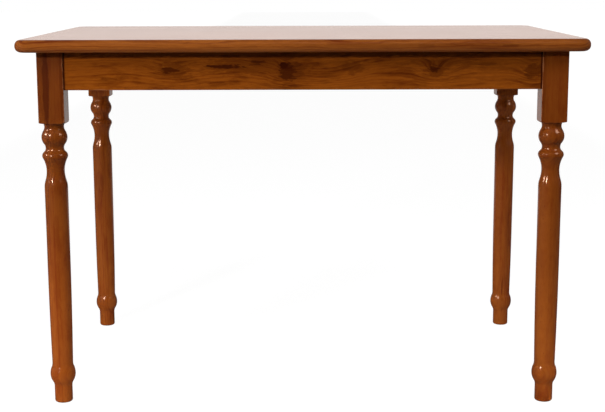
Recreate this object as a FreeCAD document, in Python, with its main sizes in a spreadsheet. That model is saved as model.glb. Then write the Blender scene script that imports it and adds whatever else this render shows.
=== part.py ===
import FreeCAD, Part
import math
import os

import Sketcher

# Dining table with four turned legs, in millimetres.
# X runs along the table, the front is at -Y, and the origin is on the floor under the middle of the top.

# Driving dimensions: the name of each size, its value and what it measures.
SIZES = [
    ("table_height", 750, "floor to the upper face of the top"),
    ("top_length", 1130, "length of the top"),
    ("top_width", 730, "width of the top, front to back"),
    ("top_thickness", 25, "thickness of the boards of the top"),
    ("top_corner_round", 30, "radius of the top's four corners, seen from above"),
    ("top_edge_round", 11.5, "radius of the top's rounded rim, above and below"),
    ("overhang", 39, "top beyond the outer faces of the leg blocks, all round"),
    ("leg_square", 52, "side of the square blank that a leg is turned from"),
    ("leg_arris_radius", 1.5, "rounding of the blank's long arrises"),
    ("block_length", 142.5, "length of the leg's square block, from the top's underside"),
    ("pommel_round", 8, "radius that rounds the corners at the foot of the block"),
    ("block_foot_radius", 22, "radius of the neck where it meets the block"),
    ("neck_radius", 19.5, "thinnest place of the neck, under the block"),
    ("neck_drop", 8.5, "block down to the thinnest place of the neck"),
    ("ball_radius", 25.9, "widest place of the ball"),
    ("ball_drop", 20.8, "neck down to the middle of the ball"),
    ("upper_waist_radius", 18.3, "waist between the ball and the ring"),
    ("upper_waist_drop", 21.7, "middle of the ball down to the upper waist"),
    ("ring_radius", 25.8, "widest place of the ring"),
    ("ring_drop", 15.4, "upper waist down to the widest place of the ring"),
    ("ring_lip", 3.2, "height of the ring below its widest place, down to its crisp arris"),
    ("ring_lip_ease", 0.4, "how far that arris comes in"),
    ("lower_waist_radius", 18, "waist between the ring and the shaft"),
    ("lower_waist_drop", 31.1, "widest place of the ring down to the lower waist"),
    ("shoulder_radius", 23.5, "widest place of the shaft, at its shoulder"),
    ("shoulder_drop", 34, "lower waist down to the shoulder"),
    ("belly_radius", 23.3, "shaft where its full length ends and the taper begins"),
    ("belly_drop", 150, "shoulder down to where the taper begins"),
    ("ankle_radius", 21.2, "thin lower end of the shaft"),
    ("ankle_rise", 23, "middle of the bead up to the thin end of the shaft"),
    ("bead_radius", 25.9, "widest place of the bead above the foot"),
    ("bead_rise", 26, "upper end of the foot up to the middle of the bead"),
    ("foot_radius", 18.3, "straight foot"),
    ("quirk_depth", 0.5, "depth of the fine lines cut beside the ball and the bead"),
    ("foot_length", 34, "length of the straight foot"),
    ("foot_round", 4, "height of the rounded edge that stands on the floor"),
    ("foot_ease", 2.5, "how far that edge comes in"),
    ("rail_height", 76, "height of the rails under the top"),
    ("rail_thickness", 20, "thickness of the rails"),
    ("rail_setback", 3, "rail behind the outer face of the leg block"),
    ("rail_arris_radius", 2, "rounding of the lower arrises of a rail"),
    ("tenon_thickness", 8, "thickness of the tenons"),
    ("tenon_shoulder", 10, "rail left above and below a tenon"),
    ("tenon_end_gap", 1, "glue space left between the two mitred tenons of a leg"),
    ("glue_gap", 0.1, "glue line between the cheek of a tenon and its mortise"),
    ("button_width", 32, "width of a button, along its rail"),
    ("button_body", 26, "length of the button outside its slot"),
    ("button_thickness", 16, "thickness of a button"),
    ("button_gap", 1.5, "gap between the button's body and the rail, for the top's movement"),
    ("button_tongue", 9, "length of the tongue beyond the button's body"),
    ("slot_drop", 9, "upper edge of the rail down to the slot for the tongue"),
    ("slot_depth", 9, "depth of the slot for the tongue"),
    ("slot_play", 1, "play of the tongue in its slot, below it and at each side"),
    ("button_from_leg", 124, "leg block to the middle of the nearest button on a rail"),
    ("corner_block_height", 50, "height of the corner blocks"),
    ("corner_block_thickness", 22, "thickness of the corner blocks"),
    ("corner_block_drop", 12, "top's underside down to the corner blocks"),
    ("corner_block_gap", 0.5, "gap between a corner block and the arris of the leg"),
    ("screw_radius", 2, "radius of a screw's shank"),
    ("screw_head_radius", 4, "radius of a screw's cheese head"),
    ("screw_head_height", 2.5, "height of a screw's cheese head"),
    ("screw_slot_width", 1, "width of the slot for the screwdriver"),
    ("screw_slot_depth", 1.2, "depth of the slot for the screwdriver"),
    ("screw_hole_gap", 0.25, "clearance round a screw in the wood that it passes through"),
    ("screw_sink", 0.5, "how far a screw's head sits under the surface"),
    ("button_screw", 26, "length of a button's screw under its head"),
    ("corner_screw", 25, "length of a corner block's screw under its head"),
    ("cut_overrun", 1, "how far a cutting tool runs past the wood"),
]

BOARD_COUNT = 6
LONG_RAIL_BUTTONS = 3
SHORT_RAIL_BUTTONS = 2
QUARTER_TURN = 90.0
CUBIC_MM_PER_CUBIC_CM = 1000

# The top's rounded rim always leaves a narrow flat between its two roundings.
RIM_LIMIT_SHARE = 0.48

# Shares of the way along a curve of the turning where it changes from hollow to round.
FOOT_HOLLOW_SHARE = 0.36
ANKLE_ROUND_SHARE = 0.72
SHOULDER_ROUND_SHARE = 0.42
RING_ROUND_SHARE = 0.50
UPPER_WAIST_HOLLOW_SHARE = 0.34
BALL_ROUND_SHARE = 0.66

# Height of a corner block's two screws, as shares of its height, so that they pass each other.
FRONT_SCREW_SHARE = 0.35
SIDE_SCREW_SHARE = 0.65

# Sizes that follow from the driving ones, as expressions for the sheet.
LEG_TOP = "(Sizes.table_height - Sizes.top_thickness)"
HALF_LEG = "(Sizes.leg_square / 2)"
LEG_X = "(Sizes.top_length / 2 - Sizes.overhang - Sizes.leg_square / 2)"
LEG_Y = "(Sizes.top_width / 2 - Sizes.overhang - Sizes.leg_square / 2)"
BOARD_WIDTH = f"(Sizes.top_width / {BOARD_COUNT})"
RIM_RADIUS = f"min(Sizes.top_edge_round; Sizes.top_thickness * {RIM_LIMIT_SHARE})"
RAIL_BOTTOM = f"({LEG_TOP} - Sizes.rail_height)"
FRAME_X = f"({LEG_X} + {HALF_LEG} - Sizes.rail_setback)"
FRAME_Y = f"({LEG_Y} + {HALF_LEG} - Sizes.rail_setback)"
INNER_X = f"({FRAME_X} - Sizes.rail_thickness)"
INNER_Y = f"({FRAME_Y} - Sizes.rail_thickness)"
LONG_RAIL = "(Sizes.top_length - 2 * Sizes.overhang - 2 * Sizes.leg_square)"
SHORT_RAIL = "(Sizes.top_width - 2 * Sizes.overhang - 2 * Sizes.leg_square)"

# A tenon lies in the middle of its rail's thickness, so this is its distance behind the leg's face.
TENON_INSET = "(Sizes.rail_setback + (Sizes.rail_thickness - Sizes.tenon_thickness) / 2)"
TENON_BOTTOM = f"({RAIL_BOTTOM} + Sizes.tenon_shoulder)"
TENON_HEIGHT = "(Sizes.rail_height - 2 * Sizes.tenon_shoulder)"

# First to last button along each kind of rail.
LONG_BUTTON_ROW = f"({LONG_RAIL} - 2 * Sizes.button_from_leg)"
SHORT_BUTTON_ROW = f"({SHORT_RAIL} - 2 * Sizes.button_from_leg)"

# A button's screw stands this far behind the rail's inner face, and its head's seat this far up the hole.
BUTTON_SCREW_IN = "(Sizes.button_gap + Sizes.button_body / 2)"
BUTTON_SCREW_SEAT = "(Sizes.screw_head_height + Sizes.screw_sink)"

# Corner blocks run across the corner behind the leg: where their two long faces meet the rails.
LEG_INSIDE = "(Sizes.leg_square - Sizes.rail_setback - Sizes.rail_thickness)"
CORNER_NEAR = f"(2 * {LEG_INSIDE} + Sizes.corner_block_gap * sqrt(2))"
CORNER_FAR = f"({CORNER_NEAR} + Sizes.corner_block_thickness * sqrt(2))"
CORNER_SCREW_ALONG = f"(({CORNER_NEAR} + {CORNER_FAR}) / 2)"
# A corner screw's head is sunk under the slanting face all round: the distance of its seat from the rail.
CORNER_SCREW_SEAT = (
    f"({CORNER_FAR} - {CORNER_SCREW_ALONG} - Sizes.screw_head_radius"
    " - Sizes.screw_hole_gap - Sizes.screw_sink - Sizes.screw_head_height)"
)
CORNER_BLOCK_BOTTOM = f"({LEG_TOP} - Sizes.corner_block_drop - Sizes.corner_block_height)"

doc = FreeCAD.newDocument("TurnedLegTable")
sheet = doc.addObject("Spreadsheet::Sheet", "Sizes")
for row, (alias, size, meaning) in enumerate(SIZES, start=1):
    sheet.set(f"A{row}", meaning)
    sheet.set(f"B{row}", str(size))
    sheet.setAlias(f"B{row}", alias)
doc.recompute()


def value(expression):
    """Return what an expression is worth with the sheet's present sizes."""
    return float(sheet.evalExpression(expression))


# Sketch helpers. A point is a pair of expressions, so every outline follows the sheet.

# The numbers by which a sketch knows the points of a curve and its own two axes.
START_INDEX = 1
END_INDEX = 2
CENTRE_INDEX = 3
LEVEL_AXIS_INDEX = -1
UPRIGHT_AXIS_INDEX = -2


def new_body(label):
    body = doc.addObject("PartDesign::Body", label)
    body.Label = label
    return body


def place(body, x, y, z, turns=0):
    """Put a body at three expressions, turned about Z by a number of quarter turns."""
    turn = FreeCAD.Rotation(FreeCAD.Vector(0, 0, 1), turns * QUARTER_TURN)
    body.Placement = FreeCAD.Placement(FreeCAD.Vector(0, 0, 0), turn)
    for axis, expression in zip("xyz", (x, y, z)):
        body.setExpression(f"Placement.Base.{axis}", expression)


def new_sketch(body, name, plane, offset="0"):
    """Start a sketch on one of the body's own planes, moved along the plane's normal."""
    sketch = body.newObject("Sketcher::SketchObject", f"{body.Name}_{name}")
    support = next(item for item in body.Origin.OriginFeatures if item.Role == plane)
    sketch.AttachmentSupport = [(support, "")]
    sketch.MapMode = "FlatFace"
    sketch.setExpression("AttachmentOffset.Base.z", offset)
    return sketch


def dimension(sketch, kind, expression, *geometry):
    """Tie a coordinate of a curve's point, or a curve's radius, to an expression."""
    if expression == "0":
        axis = {"DistanceX": UPRIGHT_AXIS_INDEX, "DistanceY": LEVEL_AXIS_INDEX}[kind]
        sketch.addConstraint(Sketcher.Constraint("PointOnObject", *geometry, axis))
        return
    index = sketch.addConstraint(Sketcher.Constraint(kind, *geometry, value(expression)))
    name = f"{kind}_{index}"
    sketch.renameConstraint(index, name)
    sketch.setExpression(f"Constraints.{name}", expression)


def circle(sketch, x, y, radius):
    centre = FreeCAD.Vector(value(x), value(y), 0)
    index = sketch.addGeometry(Part.Circle(centre, FreeCAD.Vector(0, 0, 1), value(radius)))
    dimension(sketch, "DistanceX", x, index, CENTRE_INDEX)
    dimension(sketch, "DistanceY", y, index, CENTRE_INDEX)
    dimension(sketch, "Radius", radius, index)


def arc_between(start, end, level_with, upright):
    """Return the arc through two points whose centre is level with, or plumb with, one of them."""
    anchor, other = (start, end) if level_with == "start" else (end, start)
    along, across = (other - anchor).x, (other - anchor).y
    if upright:
        along, across = across, along
    reach = (along * along + across * across) / (2 * along)
    centre = anchor + (FreeCAD.Vector(0, reach, 0) if upright else FreeCAD.Vector(reach, 0, 0))
    first = math.atan2(start.y - centre.y, start.x - centre.x)
    last = math.atan2(end.y - centre.y, end.x - centre.x)
    turned_left = math.sin(last - first) > 0
    low, high = (first, last) if turned_left else (last, first)
    ring = Part.Circle(centre, FreeCAD.Vector(0, 0, 1), abs(reach))
    return Part.ArcOfCircle(ring, low, high), turned_left


def outline(sketch, start, steps):
    """Draw a closed outline from its start.

    A step is ("line", point), or ("level" or "plumb", "start" or "end", point) for an arc whose centre is
    level or plumb with that end of the arc, so that the arc is upright or flat there.
    """
    points = [start] + [step[-1] for step in steps]
    spots = [FreeCAD.Vector(value(x), value(y), 0) for x, y in points]
    ends = []
    for number, step in enumerate(steps):
        here, there = spots[number], spots[number + 1]
        if step[0] == "line":
            index = sketch.addGeometry(Part.LineSegment(here, there))
            ends.append((index, START_INDEX, END_INDEX))
            continue
        arc, turned_left = arc_between(here, there, step[1], step[0] == "plumb")
        index = sketch.addGeometry(arc)
        first, last = (START_INDEX, END_INDEX) if turned_left else (END_INDEX, START_INDEX)
        ends.append((index, first, last))
        anchor = first if step[1] == "start" else last
        kind = "Horizontal" if step[0] == "level" else "Vertical"
        sketch.addConstraint(Sketcher.Constraint(kind, index, CENTRE_INDEX, index, anchor))
    for number, (index, first, last) in enumerate(ends):
        following = ends[(number + 1) % len(ends)]
        sketch.addConstraint(Sketcher.Constraint("Coincident", index, last, following[0], following[1]))
        dimension(sketch, "DistanceX", points[number][0], index, first)
        dimension(sketch, "DistanceY", points[number][1], index, first)


def polygon(sketch, points):
    outline(sketch, points[0], [("line", point) for point in points[1:] + points[:1]])


def rectangle(sketch, low, high):
    """Draw a rectangle from its lower left corner and its upper right one."""
    polygon(sketch, [low, (high[0], low[1]), high, (low[0], high[1])])


# Feature helpers.


def pad(body, name, sketch, length, both_ways=False):
    feature = body.newObject("PartDesign::Pad", f"{body.Name}_{name}")
    feature.Profile = sketch
    feature.setExpression("Length", length)
    if both_ways:
        feature.SideType = "Symmetric"
    doc.recompute()
    return feature


def pocket(body, name, sketch, depth, along_normal=True):
    """Cut the sketch to a depth, along the sketch's normal or against it."""
    before = body.Shape.Volume
    feature = body.newObject("PartDesign::Pocket", f"{body.Name}_{name}")
    feature.Profile = sketch
    feature.setExpression("Length", depth)
    feature.Reversed = along_normal
    doc.recompute()
    if not body.Shape.Volume < before:
        raise RuntimeError(f"{feature.Name} cuts nothing")
    return feature


def screw_hole(body, name, sketch, seat_depth, along_normal):
    """Drill right through from the sketch's plane, wider down to the seat of the screw's head."""
    before = body.Shape.Volume
    feature = body.newObject("PartDesign::Hole", f"{body.Name}_{name}")
    feature.Profile = sketch
    feature.DepthType = "ThroughAll"
    feature.HoleCutType = "Counterbore"
    feature.HoleCutCustomValues = True
    feature.Reversed = along_normal
    feature.setExpression("Diameter", "2 * (Sizes.screw_radius + Sizes.screw_hole_gap)")
    feature.setExpression("HoleCutDiameter", "2 * (Sizes.screw_head_radius + Sizes.screw_hole_gap)")
    feature.setExpression("HoleCutDepth", seat_depth)
    doc.recompute()
    if not body.Shape.Volume < before:
        raise RuntimeError(f"{feature.Name} cuts nothing")
    return feature


def round_edges(body, name, radius, wanted):
    """Round every edge of the body that the test picks."""
    base = body.Tip
    names = [f"Edge{n}" for n, edge in enumerate(base.Shape.Edges, start=1) if wanted(edge)]
    feature = body.newObject("PartDesign::Fillet", f"{body.Name}_{name}")
    feature.Base = (base, names)
    feature.setExpression("Radius", radius)
    doc.recompute()
    return feature


def same_place(first, second):
    """Two heights or places count as one when they differ by less than a glue line."""
    return abs(first - second) < value("Sizes.glue_gap")


def is_upright(edge):
    box = edge.BoundBox
    return same_place(box.XMin, box.XMax) and same_place(box.YMin, box.YMax)


def is_level_at(edge, height):
    return same_place(edge.BoundBox.ZMin, height) and same_place(edge.BoundBox.ZMax, height)


# Legs. One square blank each: the arrises are eased, the turning is cut away and the mortises are chopped.


def heights_of_turning():
    """Return the height of each narrow and wide place, counted from the floor or down from the block."""
    bottom = f"({LEG_TOP} - Sizes.block_length)"
    spots = {"foot": "Sizes.foot_length"}
    spots["bead"] = f"({spots['foot']} + Sizes.bead_rise)"
    spots["ankle"] = f"({spots['bead']} + Sizes.ankle_rise)"
    spots["block"] = bottom
    for name in ("neck", "ball", "upper_waist", "ring", "lower_waist", "shoulder", "belly"):
        bottom = f"({bottom} - Sizes.{name}_drop)"
        spots[name] = bottom
    return spots


def turning_steps():
    """Return the outline of the wood that the lathe takes away, from the floor up to the block."""
    spots = heights_of_turning()

    def place_of(name):
        return f"Sizes.{name}_radius", spots[name]

    def between(low, high, share):
        """Where the curve from low to high changes its bend: on the straight line between them."""
        pairs = zip(place_of(low), place_of(high))
        return tuple(f"({a} + ({b} - {a}) * {share})" for a, b in pairs)

    def double_curve(low, high, share, quirk="0"):
        """Two arcs that run into each other smoothly, or meet in a fine line that is cut in by the quirk."""
        out, up = between(low, high, share)
        return [("level", "start", (f"({out} - {quirk})", up)), ("level", "end", place_of(high))]

    floor_edge = ("(Sizes.foot_radius - Sizes.foot_ease)", "0")
    ring_arris = ("(Sizes.ring_radius - Sizes.ring_lip_ease)", f"({spots['ring']} - Sizes.ring_lip)")
    block_edge = ("Sizes.block_foot_radius", spots["block"])
    corner_radius = f"({HALF_LEG} * sqrt(2))"
    pommel_out = f"({corner_radius} + Sizes.cut_overrun)"
    pommel_in = f"({pommel_out} - Sizes.pommel_round)"
    pommel_top = f"({spots['block']} + Sizes.pommel_round)"
    far = f"({pommel_out} + Sizes.cut_overrun)"
    below = "(-Sizes.cut_overrun)"

    steps = [("line", floor_edge), ("level", "end", ("Sizes.foot_radius", "Sizes.foot_round"))]
    steps.append(("line", place_of("foot")))
    steps += double_curve("foot", "bead", FOOT_HOLLOW_SHARE)
    steps += double_curve("bead", "ankle", ANKLE_ROUND_SHARE, "Sizes.quirk_depth")
    steps.append(("level", "end", place_of("belly")))
    steps.append(("line", place_of("shoulder")))
    steps += double_curve("shoulder", "lower_waist", SHOULDER_ROUND_SHARE)
    steps.append(("level", "start", ring_arris))
    steps.append(("level", "end", place_of("ring")))
    steps += double_curve("ring", "upper_waist", RING_ROUND_SHARE)
    steps += double_curve("upper_waist", "ball", UPPER_WAIST_HOLLOW_SHARE, "Sizes.quirk_depth")
    steps += double_curve("ball", "neck", BALL_ROUND_SHARE)
    steps.append(("level", "start", block_edge))
    steps.append(("line", (pommel_in, spots["block"])))
    steps.append(("plumb", "start", (pommel_out, pommel_top)))
    steps.append(("line", (far, pommel_top)))
    steps.append(("line", (far, below)))
    start = ("(Sizes.foot_radius - Sizes.foot_ease)", below)
    steps.append(("line", start))
    return start, steps


def make_leg(label, x, y, turns):
    """One leg, with its two mortises towards +X and +Y before it is turned into place."""
    body = new_body(label)
    blank = new_sketch(body, "blank", "XY_Plane")
    low = f"(-{HALF_LEG})"
    rectangle(blank, (low, low), (HALF_LEG, HALF_LEG))
    pad(body, "blank_pad", blank, LEG_TOP)
    round_edges(body, "arrises", "Sizes.leg_arris_radius", is_upright)

    waste = new_sketch(body, "turning", "XZ_Plane")
    outline(waste, *turning_steps())
    lathe = body.newObject("PartDesign::Groove", f"{body.Name}_lathe")
    lathe.Profile = waste
    lathe.ReferenceAxis = (waste, ["V_Axis"])
    doc.recompute()

    mortise = new_sketch(body, "mortise", "XY_Plane", f"({TENON_BOTTOM} - Sizes.glue_gap)")
    outer = f"({TENON_INSET} - {HALF_LEG} - Sizes.glue_gap)"
    inner = f"({TENON_INSET} - {HALF_LEG} + Sizes.tenon_thickness + Sizes.glue_gap)"
    mouth = f"({HALF_LEG} + Sizes.cut_overrun)"
    to_x = [(outer, outer), (mouth, outer), (mouth, inner)]
    to_y = [(inner, inner), (inner, mouth), (outer, mouth)]
    polygon(mortise, to_x + to_y)
    pocket(body, "mortises", mortise, f"({TENON_HEIGHT} + 2 * Sizes.glue_gap)")
    place(body, x, y, "0", turns)
    return body


# Rails. Each has a mitred tenon at both ends, slots for the buttons and pilot holes for the corner blocks.


def make_rail(label, length, button_row, button_count, x, y, turns):
    """One rail along X with its outer face at y = 0, before it is turned into place."""
    body = new_body(label)
    end = f"({length} / 2)"
    back = "Sizes.rail_thickness"
    board = new_sketch(body, "board", "XY_Plane")
    rectangle(board, (f"(-{end})", "0"), (end, back))
    pad(body, "board_pad", board, "Sizes.rail_height")
    round_edges(body, "lower_arrises", "Sizes.rail_arris_radius",
                lambda edge: is_level_at(edge, 0) and edge.BoundBox.XLength > edge.BoundBox.YLength)

    cheek = "((Sizes.rail_thickness - Sizes.tenon_thickness) / 2)"
    far_cheek = f"({cheek} + Sizes.tenon_thickness)"
    long_point = f"({end} + Sizes.leg_square - {TENON_INSET} - Sizes.tenon_end_gap)"
    short_point = f"({long_point} - Sizes.tenon_thickness)"
    tenon = new_sketch(body, "tenon", "XY_Plane", "Sizes.tenon_shoulder")
    front_edge = [(f"(-{long_point})", cheek), (long_point, cheek)]
    back_edge = [(short_point, far_cheek), (f"(-{short_point})", far_cheek)]
    polygon(tenon, front_edge + back_edge)
    pad(body, "tenons", tenon, TENON_HEIGHT)

    slot = new_sketch(body, "slot", "XZ_Plane", "(-Sizes.rail_thickness)")
    middle = f"(-{button_row} / 2)"
    half_slot = "(Sizes.button_width / 2 + Sizes.slot_play)"
    slot_top = "(Sizes.rail_height - Sizes.slot_drop)"
    slot_bottom = f"({slot_top} - (Sizes.button_thickness - Sizes.slot_drop) - Sizes.slot_play)"
    left, right = f"({middle} - {half_slot})", f"({middle} + {half_slot})"
    rectangle(slot, (left, slot_bottom), (right, slot_top))
    first_slot = pocket(body, "first_slot", slot, "Sizes.slot_depth")
    row = body.newObject("PartDesign::LinearPattern", f"{body.Name}_slots")
    row.Originals = [first_slot]
    row.Direction = (slot, ["H_Axis"])
    row.setExpression("Length", button_row)
    row.Occurrences = button_count
    body.Tip = row
    doc.recompute()

    pilots = new_sketch(body, "pilots", "XZ_Plane", "(-Sizes.rail_thickness)")
    block_foot = f"({CORNER_BLOCK_BOTTOM} - {RAIL_BOTTOM})"
    from_end = f"({CORNER_SCREW_ALONG} - {LEG_INSIDE})"
    ends = ((f"({from_end} - {end})", FRONT_SCREW_SHARE), (f"({end} - {from_end})", SIDE_SCREW_SHARE))
    for side, share in ends:
        height = f"({block_foot} + Sizes.corner_block_height * {share})"
        circle(pilots, side, height, "(Sizes.screw_radius + Sizes.glue_gap)")
    pocket(body, "pilot_holes", pilots, f"(Sizes.corner_screw - {CORNER_SCREW_SEAT} + Sizes.cut_overrun)")
    place(body, x, y, RAIL_BOTTOM, turns)
    return body


# Top. Boards glued edge to edge; the outer edges of all of them make one rounded rim.


def along_rail(row, count, number):
    """Return how far a button stands from the middle of its rail."""
    return f"({row} / {count - 1} * {number} - {row} / 2)"


def button_places():
    """Return each button's name, its foot on the rail's inner face, its quarter turns and its screw."""
    places = []
    for side, sign, turns in (("front", "-", 0), ("back", "", 2)):
        for number in range(LONG_RAIL_BUTTONS):
            x = along_rail(LONG_BUTTON_ROW, LONG_RAIL_BUTTONS, number)
            foot = (x, f"({sign}{INNER_Y})")
            screw = (x, f"({sign}({INNER_Y} - {BUTTON_SCREW_IN}))")
            name = f"button_{side}_{number + 1}"
            places.append({"name": name, "foot": foot, "turns": turns, "screw": screw})
    for side, sign, turns in (("left", "-", 3), ("right", "", 1)):
        for number in range(SHORT_RAIL_BUTTONS):
            y = along_rail(SHORT_BUTTON_ROW, SHORT_RAIL_BUTTONS, number)
            foot = (f"({sign}{INNER_X})", y)
            screw = (f"({sign}({INNER_X} - {BUTTON_SCREW_IN}))", y)
            name = f"button_{side}_{number + 1}"
            places.append({"name": name, "foot": foot, "turns": turns, "screw": screw})
    return places


BUTTONS = button_places()


def screws_in_board(front_edge):
    """Return the places of the screws that enter a board, in the board's own frame."""
    low, high = value(front_edge), value(f"{front_edge} + {BOARD_WIDTH}")
    reach = value("Sizes.screw_radius + Sizes.glue_gap")
    screws = [button["screw"] for button in BUTTONS]
    return [(x, f"({y} - {front_edge})") for x, y in screws if low - reach < value(y) < high + reach]


def make_board(label, index):
    body = new_body(label)
    end = "(Sizes.top_length / 2)"
    front_edge = f"({BOARD_WIDTH} * {index} - Sizes.top_width / 2)"
    board = new_sketch(body, "board", "XY_Plane")
    rectangle(board, (f"(-{end})", "0"), (end, BOARD_WIDTH))
    pad(body, "board_pad", board, "Sizes.top_thickness")
    width, thickness = value(BOARD_WIDTH), value("Sizes.top_thickness")
    outer_sides = {0: [0.0], BOARD_COUNT - 1: [width]}.get(index, [])
    glued_sides = [side for side in (0.0, width) if side not in outer_sides]

    def lies_along(edge, sides):
        return any(same_place(edge.CenterOfMass.y, side) for side in sides)

    def on_rim(edge):
        level = is_level_at(edge, 0) or is_level_at(edge, thickness)
        return level and not lies_along(edge, glued_sides)

    if outer_sides:
        round_edges(body, "corners", "Sizes.top_corner_round",
                    lambda edge: is_upright(edge) and lies_along(edge, outer_sides))
    round_edges(body, "rim", RIM_RADIUS, on_rim)
    screws = screws_in_board(front_edge)
    if screws:
        pilots = new_sketch(body, "pilots", "XY_Plane")
        for x, y in screws:
            circle(pilots, x, y, "(Sizes.screw_radius + Sizes.glue_gap)")
        depth = f"(Sizes.button_screw - Sizes.button_thickness + {BUTTON_SCREW_SEAT} + Sizes.cut_overrun)"
        pocket(body, "pilot_holes", pilots, depth)
    place(body, "0", front_edge, LEG_TOP)
    return body


# Corner blocks, glued across the corners and screwed square into both rails.


def make_corner_block(label, x, y, turns):
    """One block, with the inner faces of its two rails at x = 0 and y = 0 before it is turned."""
    body = new_body(label)
    board = new_sketch(body, "board", "XY_Plane")
    polygon(board, [(CORNER_NEAR, "0"), (CORNER_FAR, "0"), ("0", CORNER_FAR), ("0", CORNER_NEAR)])
    pad(body, "board_pad", board, "Sizes.corner_block_height")
    # The planes' normals point to -Y and +X, so the two ends are drilled in opposite senses.
    front = ("front", "XZ_Plane", f"(-{CORNER_FAR})", True, FRONT_SCREW_SHARE)
    side = ("side", "YZ_Plane", CORNER_FAR, False, SIDE_SCREW_SHARE)
    for end, plane, offset, along_normal, share in (front, side):
        centre = new_sketch(body, f"{end}_centre", plane, offset)
        circle(centre, CORNER_SCREW_ALONG, f"(Sizes.corner_block_height * {share})", "Sizes.screw_radius")
        screw_hole(body, f"{end}_hole", centre, f"({CORNER_FAR} - {CORNER_SCREW_SEAT})", along_normal)
    place(body, x, y, CORNER_BLOCK_BOTTOM, turns)
    return body


# Buttons. The body is screwed up against the top and the tongue hooks under the rail's slot.


def make_button(label, x, y, turns):
    """One button with the rail's inner face at y = 0 and the top's underside at z = 0."""
    body = new_body(label)
    side = new_sketch(body, "side", "YZ_Plane")
    tip = "(Sizes.button_gap - Sizes.button_tongue)"
    back = "(Sizes.button_gap + Sizes.button_body)"
    foot = "(-Sizes.button_thickness)"
    step = "(-Sizes.slot_drop)"
    lower = [(tip, foot), (back, foot)]
    upper = [(back, "0"), ("Sizes.button_gap", "0"), ("Sizes.button_gap", step), (tip, step)]
    polygon(side, lower + upper)
    pad(body, "side_pad", side, "Sizes.button_width", both_ways=True)
    centre = new_sketch(body, "centre", "XY_Plane", foot)
    circle(centre, "0", BUTTON_SCREW_IN, "Sizes.screw_radius")
    screw_hole(body, "hole", centre, BUTTON_SCREW_SEAT, True)
    place(body, x, y, LEG_TOP, turns)
    return body


# Screws. One pattern for each length, repeated by links that share one node.


def make_screw(name, length):
    """One screw whose shank points up from z = 0, with its slotted cheese head below."""
    body = new_body(name)
    half = new_sketch(body, "half", "XZ_Plane")
    top = "(-Sizes.screw_head_height)"
    shank = [("0", length), ("Sizes.screw_radius", length), ("Sizes.screw_radius", "0")]
    head = [("Sizes.screw_head_radius", "0"), ("Sizes.screw_head_radius", top), ("0", top)]
    polygon(half, shank + head)
    turned = body.newObject("PartDesign::Revolution", f"{name}_turned")
    turned.Profile = half
    turned.ReferenceAxis = (half, ["V_Axis"])
    doc.recompute()
    slot = new_sketch(body, "slot", "XY_Plane", top)
    reach = "(Sizes.screw_head_radius + Sizes.cut_overrun)"
    edge = "(Sizes.screw_slot_width / 2)"
    rectangle(slot, (f"(-{reach})", f"(-{edge})"), (reach, edge))
    pocket(body, "slot_cut", slot, "Sizes.screw_slot_depth")
    return body


def group_screws(label, screw, places):
    """Repeat a screw at places of (three expressions, rotation) as one node."""
    links = []
    for number, (spot, rotation) in enumerate(places, start=1):
        link = doc.addObject("App::Link", f"{label}_{number}")
        link.LinkedObject = screw
        link.Placement = FreeCAD.Placement(FreeCAD.Vector(0, 0, 0), rotation)
        for axis, expression in zip("xyz", spot):
            link.setExpression(f"Placement.Base.{axis}", expression)
        links.append(link)
    group = doc.addObject("Part::Compound", label)
    group.Label = label
    group.Links = links
    doc.recompute()
    return group


# The four corners, anticlockwise and each a quarter turn from the last: name, then the signs of X and Y.
CORNERS = [("front_left", "-", "-"), ("front_right", "", "-"), ("back_right", "", ""), ("back_left", "-", "")]

nodes = []
for number in range(BOARD_COUNT):
    ending = {0: "_front", BOARD_COUNT - 1: "_back"}.get(number, "")
    nodes.append(make_board(f"top_board_{number + 1}{ending}", number))

for turns, (name, sign_x, sign_y) in enumerate(CORNERS):
    nodes.append(make_leg(f"leg_{name}", f"({sign_x}{LEG_X})", f"({sign_y}{LEG_Y})", turns))

long_rail = (LONG_RAIL, LONG_BUTTON_ROW, LONG_RAIL_BUTTONS)
short_rail = (SHORT_RAIL, SHORT_BUTTON_ROW, SHORT_RAIL_BUTTONS)
nodes.append(make_rail("rail_front", *long_rail, "0", f"(-{FRAME_Y})", 0))
nodes.append(make_rail("rail_right", *short_rail, FRAME_X, "0", 1))
nodes.append(make_rail("rail_back", *long_rail, "0", FRAME_Y, 2))
nodes.append(make_rail("rail_left", *short_rail, f"(-{FRAME_X})", "0", 3))

for turns, (name, sign_x, sign_y) in enumerate(CORNERS):
    corner = (f"({sign_x}{INNER_X})", f"({sign_y}{INNER_Y})")
    nodes.append(make_corner_block(f"corner_block_{name}", *corner, turns))

button_screws = []
screw_height = f"({LEG_TOP} - Sizes.button_thickness + {BUTTON_SCREW_SEAT})"
for button in BUTTONS:
    nodes.append(make_button(button["name"], *button["foot"], button["turns"]))
    button_screws.append(((*button["screw"], screw_height), FreeCAD.Rotation()))

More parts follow.
